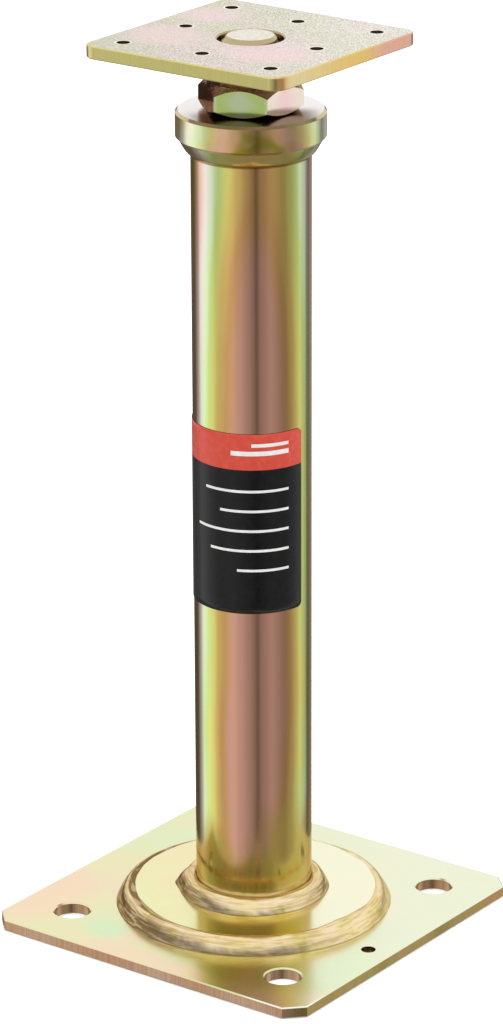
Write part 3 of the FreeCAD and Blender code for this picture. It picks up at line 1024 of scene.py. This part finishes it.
# Brightness of the studio round the part below the horizon, by degrees to the right of the front.
STUDIO_LOW = [
    (-180.0, 0.16),
    (-142.0, 0.16),
    (-126.0, 0.36),
    (-113.0, 0.95),
    (-100.0, 1.0),
    (-86.0, 0.85),
    (-70.0, 0.62),
    (-40.0, 0.74),
    (-24.0, 0.58),
    (-8.0, 0.42),
    (2.0, 0.30),
    (9.0, 0.15),
    (17.0, 0.34),
    (40.0, 0.48),
    (64.0, 0.44),
    (80.0, 0.60),
    (97.0, 0.90),
    (109.0, 0.95),
    (121.0, 0.58),
    (133.0, 0.22),
    (155.0, 0.45),
    (180.0, 0.16),
]
# The same in a bar above the horizon, where the front is unlit.
STUDIO_HIGH = [
    (-180.0, 1.0),
    (-125.0, 1.0),
    (-95.0, 0.45),
    (-75.0, 0.20),
    (-40.0, 0.16),
    (15.0, 0.12),
    (36.0, 0.25),
    (55.0, 0.8),
    (90.0, 1.0),
    (125.0, 1.0),
    (180.0, 1.0),
]
# Brightness straight below the part, and how much of the light above fills the bar's lower half.
STUDIO_UNDER = (0.42, 0.42, 0.42)
BAR_FILL = 0.5
# Heights in the studio, as sines of the elevation, between which one range gives way to the next.
TO_LOW = (-0.85, -0.55)
TO_HIGH = (-0.06, 0.12)
TO_BAR = (0.29, 0.37)
TO_WHITE = (0.40, 0.56)


def build_studio():
    """White surroundings with a dark bar in front and darker gaps round the horizon."""
    world = bpy.data.worlds.new("studio")
    bpy.context.scene.world = world
    world.use_nodes = True
    sky = Shader(world.node_tree)
    way = sky.add("ShaderNodeTexCoord").outputs["Generated"]
    right, away, up = sky.parts(sky.stretched(way, turn=-VIEW_AZIMUTH))
    front = sky.math("MULTIPLY", away, -1.0)
    bearing = sky.math("DEGREES", sky.math("ARCTAN2", right, front))
    low = sky.ramp(bearing, -180.0, 180.0, STUDIO_LOW)
    low = sky.mix(sky.span(up, *TO_LOW), STUDIO_UNDER, low)
    high = sky.ramp(bearing, -180.0, 180.0, STUDIO_HIGH)
    high = sky.mix(sky.span(up, *TO_BAR, BAR_FILL, 0.0), high, WHITE)
    high = sky.mix(sky.span(up, *TO_WHITE), high, WHITE)
    light = sky.mix(sky.span(up, *TO_HIGH), low, high)
    sky.put(world.node_tree.nodes["Background"].inputs["Color"], light)


FLOOR_SIZE = 80.0
FLOOR_SINK = 0.05 * MM


def build_floor():
    """A pale floor that the metal does not mirror, just under the part."""
    bpy.ops.mesh.primitive_plane_add(size=FLOOR_SIZE, location=(0, 0, -FLOOR_SINK))
    floor = bpy.context.object
    floor.name = "floor"
    floor.visible_glossy = False
    paper = bpy.data.materials.new("paper")
    paper.use_nodes = True
    sockets = paper.node_tree.nodes["Principled BSDF"].inputs
    sockets["Base Color"].default_value = (0.9, 0.9, 0.9, 1.0)
    sockets["Roughness"].default_value = 0.9
    floor.data.materials.append(paper)


LAMP_HEIGHT = 2.2
LAMP_SIZE = 3.0
LAMP_POWER = 70.0


def build_lamp():
    """A soft box straight above the part, which the metal does not mirror."""
    lamp = bpy.data.lights.new("top_box", "AREA")
    lamp.shape = "SQUARE"
    lamp.size = LAMP_SIZE
    lamp.energy = LAMP_POWER
    box = bpy.data.objects.new("top_box", lamp)
    box.location = (0, 0, LAMP_HEIGHT)
    box.visible_glossy = False
    bpy.context.scene.collection.objects.link(box)


def build_camera():
    """The camera at the photograph's place, with its lens."""
    camera = bpy.data.cameras.new("camera")
    camera.sensor_width = SENSOR_MM
    camera.lens = LENS_MM
    camera.shift_x = SHIFT_X
    camera.clip_end = VIEW_END
    holder = bpy.data.objects.new("camera", camera)
    level = math.cos(VIEW_ELEVATION)
    right = math.sin(VIEW_AZIMUTH) * level
    front = math.cos(VIEW_AZIMUTH) * level
    back = Vector((right, -front, math.sin(VIEW_ELEVATION)))
    holder.location = VIEW_TARGET + back * VIEW_DISTANCE
    facing = (-back).to_track_quat("-Z", "Y")
    holder.rotation_euler = (facing @ Quaternion((0, 0, 1), VIEW_ROLL)).to_euler()
    bpy.context.scene.collection.objects.link(holder)
    bpy.context.scene.camera = holder
    bpy.context.scene.view_settings.view_transform = "Standard"


tube_film = tube_metal()
dress_node("base_plate", base_metal(), edge=0.15 * MM)
dress_node("reinforcing_disc", disc_metal())
dress_node("post_tube", tube_film)
dress_node("collar", collar_metal(), edge=0.25 * MM)
dress_node("adjusting_nut", nut_metal(), edge=0.35 * MM)
dress_node("top_plate", head_metal(), edge=0.25 * MM)

build_tube_weld()
build_disc_weld()
build_collar_weld(tube_film)
build_spindle_weld()
build_spindle(spindle_metal())

black_film = film_plastic("black_film", (0.003, 0.003, 0.003), (0.005, 0.005, 0.005), 0.2)
red_film = film_plastic("red_film", (0.50, 0.052, 0.030), (0.54, 0.066, 0.040), 0.24)
pale_film = film_plastic("pale_film", (0.62, 0.62, 0.60), (0.70, 0.70, 0.68), 0.4)
build_label(black_film, red_film, pale_film)

build_studio()
build_floor()
build_lamp()
build_camera()
